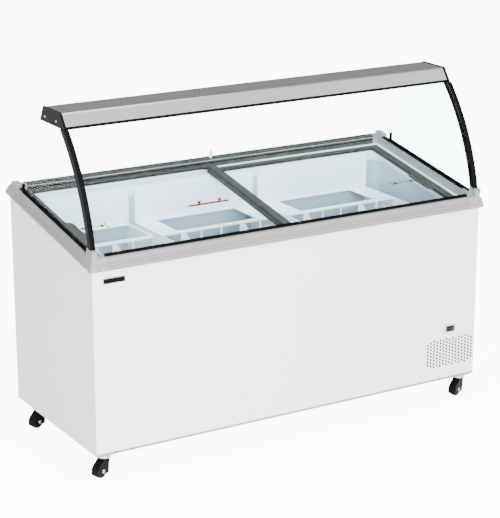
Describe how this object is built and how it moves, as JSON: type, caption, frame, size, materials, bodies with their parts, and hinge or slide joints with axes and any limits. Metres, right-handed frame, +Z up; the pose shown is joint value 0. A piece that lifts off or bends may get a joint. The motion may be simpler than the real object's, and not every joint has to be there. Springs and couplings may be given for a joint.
{
  "type": "chest freezer",
  "caption": "Slant-top display chest freezer for scooped ice cream, with sliding glass lids, a curved glass sneeze guard, a top canopy and swivel castors.",
  "frame": {"origin": "on the floor under the middle of the cabinet, with the castor wheels standing on z = 0", "axes": "+X along the length, to the right for a customer facing the curved glass; +Y from the customer side towards the server side; +Z up"},
  "size_m": [1.5544, 0.6539, 1.1795],
  "materials": {
    "white_steel": "gloss",
    "liner_white": "satin",
    "evaporator_tube": "satin",
    "foam": "matte",
    "rail_grey": "satin",
    "rear_rail_grey": "satin",
    "collar_white": "satin",
    "black_plastic": "satin",
    "seal_black": "matte",
    "clear_glass": "gloss",
    "canopy_silver": "satin",
    "diffuser": "satin",
    "rack_white": "satin",
    "pull_grey": "satin",
    "display_dark": "gloss",
    "compressor_black": "satin",
    "condenser_fins": "satin",
    "badge_black": "satin",
    "fan_plastic": "satin",
    "copper_pipe": "satin",
    "bright_steel": "satin",
    "black_steel": "satin",
    "castor_black": "satin",
    "wheel_black": "matte"
  },
  "bodies": {
    "cabinet": {"left_panel": "white_steel", "right_panel": "white_steel", "front_panel": "white_steel", "back_panel": "white_steel", "base_tray": "white_steel", "tank_liner": "liner_white", "evaporator": "evaporator_tube", "foam_insulation": "foam", "front_rail": "rail_grey", "back_rail": "rear_rail_grey", "left_rail": "rail_grey", "right_rail": "rail_grey", "front_left_corner": "rail_grey", "front_right_corner": "rail_grey", "back_left_corner": "rear_rail_grey", "back_right_corner": "rear_rail_grey", "mouth_collar": "collar_white", "end_posts": "black_plastic", "front_glass": "clear_glass", "left_glass": "clear_glass", "right_glass": "clear_glass", "glass_seals": "seal_black", "canopy": "canopy_silver", "canopy_seal": "seal_black", "end_caps": "black_plastic", "light_bar": "diffuser", "lid_stop": "pull_grey", "pan_rack_left": "rack_white", "pan_rack_middle": "rack_white", "pan_rack_right": "rack_white", "display_bezel": "black_plastic", "display_window": "display_dark", "badge_plate": "badge_black", "compressor": "compressor_black", "condenser": "condenser_fins", "fan_shroud": "black_plastic", "fan_motor": "compressor_black", "refrigerant_pipes": "copper_pipe", "power_inlet": "black_plastic", "rear_cover": "white_steel", "switch_frame": "black_plastic", "castor_plates": "bright_steel", "bright_screws": "bright_steel", "black_screws": "black_steel"},
    "left_lid": {"left_lid_frame": "rear_rail_grey", "left_lid_glass": "clear_glass", "left_lid_pull": "pull_grey"},
    "right_lid": {"right_lid_frame": "rear_rail_grey", "right_lid_glass": "clear_glass", "right_lid_pull": "pull_grey"},
    "fan": {"fan_blades": "fan_plastic"},
    "rocker": {"switch_rocker": "black_plastic"},
    "fork_front_left": {"castor_fork_front_left": "castor_black"},
    "wheel_front_left": {"castor_wheel_front_left": "wheel_black"},
    "fork_front_right": {"castor_fork_front_right": "castor_black"},
    "wheel_front_right": {"castor_wheel_front_right": "wheel_black"},
    "fork_rear_left": {"castor_fork_rear_left": "castor_black"},
    "wheel_rear_left": {"castor_wheel_rear_left": "wheel_black"},
    "fork_rear_right": {"castor_fork_rear_right": "castor_black"},
    "wheel_rear_right": {"castor_wheel_rear_right": "wheel_black"}
  },
  "joints": [
    {"name": "left_lid_slide", "type": "slide", "parent": "cabinet", "child": "left_lid", "axis": [1, 0, 0], "range_m": [0, 0.69]},
    {"name": "right_lid_slide", "type": "slide", "parent": "cabinet", "child": "right_lid", "axis": [1, 0, 0], "range_m": [-0.69, 0]},
    {"name": "fan_spin", "type": "hinge", "parent": "cabinet", "child": "fan", "pos_m": [0.62275, -0.2365, 0.1665], "axis": [0, 1, 0], "continuous": true},
    {"name": "switch_rock", "type": "hinge", "parent": "cabinet", "child": "rocker", "pos_m": [0.5715, 0.3115, 0.308], "axis": [1, 0, 0], "range_deg": [-18, 0]},
    {"name": "swivel_front_left", "type": "hinge", "parent": "cabinet", "child": "fork_front_left", "pos_m": [-0.722, -0.283, 0.06], "axis": [0, 0, 1], "continuous": true},
    {"name": "roll_front_left", "type": "hinge", "parent": "fork_front_left", "child": "wheel_front_left", "pos_m": [-0.74194, -0.2923, 0.025], "axis": [-0.4226, 0.9063, 0], "continuous": true},
    {"name": "swivel_front_right", "type": "hinge", "parent": "cabinet", "child": "fork_front_right", "pos_m": [0.722, -0.283, 0.06], "axis": [0, 0, 1], "continuous": true},
    {"name": "roll_front_right", "type": "hinge", "parent": "fork_front_right", "child": "wheel_front_right", "pos_m": [0.70206, -0.2923, 0.025], "axis": [-0.4226, 0.9063, 0], "continuous": true},
    {"name": "swivel_rear_left", "type": "hinge", "parent": "cabinet", "child": "fork_rear_left", "pos_m": [-0.722, 0.215, 0.06], "axis": [0, 0, 1], "continuous": true},
    {"name": "roll_rear_left", "type": "hinge", "parent": "fork_rear_left", "child": "wheel_rear_left", "pos_m": [-0.74194, 0.2057, 0.025], "axis": [-0.4226, 0.9063, 0], "continuous": true},
    {"name": "swivel_rear_right", "type": "hinge", "parent": "cabinet", "child": "fork_rear_right", "pos_m": [0.722, 0.215, 0.06], "axis": [0, 0, 1], "continuous": true},
    {"name": "roll_rear_right", "type": "hinge", "parent": "fork_rear_right", "child": "wheel_rear_right", "pos_m": [0.70206, 0.2057, 0.025], "axis": [-0.4226, 0.9063, 0], "continuous": true}
  ]
}
